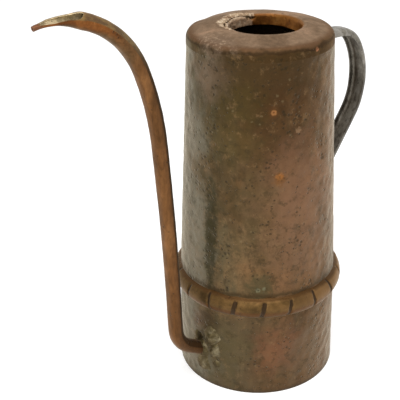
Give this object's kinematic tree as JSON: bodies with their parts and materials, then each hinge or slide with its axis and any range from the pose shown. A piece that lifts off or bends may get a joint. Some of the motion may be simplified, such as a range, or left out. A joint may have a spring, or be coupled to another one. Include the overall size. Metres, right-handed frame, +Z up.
{
  "type": "watering can",
  "caption": "Tall hammered copper watering can with a crooked beaked spout, notched bead and strap handle, worn, with a torn filling hole.",
  "frame": {"origin": "centre of the flat underside of the can", "axes": "+Z up; the spout and its beak point along -X, and the strap handle stands out along +X"},
  "size_m": [0.2715, 0.1208, 0.2857],
  "materials": {
    "wall_copper": "hammered copper with dark brown and olive patina",
    "plate_copper": "dull pinkish brown copper with a grey bloom",
    "bead_copper": "rubbed golden brown copper",
    "spout_copper": "brown copper, brighter orange at the beak",
    "strap_copper": "grey, dull patina with a dirty inside",
    "solder": "rough grey and olive soft solder"
  },
  "bodies": {
    "root": {"lower_wall": "wall_copper", "upper_wall": "wall_copper", "base_plate": "wall_copper", "top_plate": "plate_copper", "notched_bead": "bead_copper", "spout_tube": "spout_copper", "spout_solder": "solder", "handle_strap": "strap_copper", "handle_top_solder": "solder", "handle_foot_solder": "solder"}
  },
  "joints": []
}
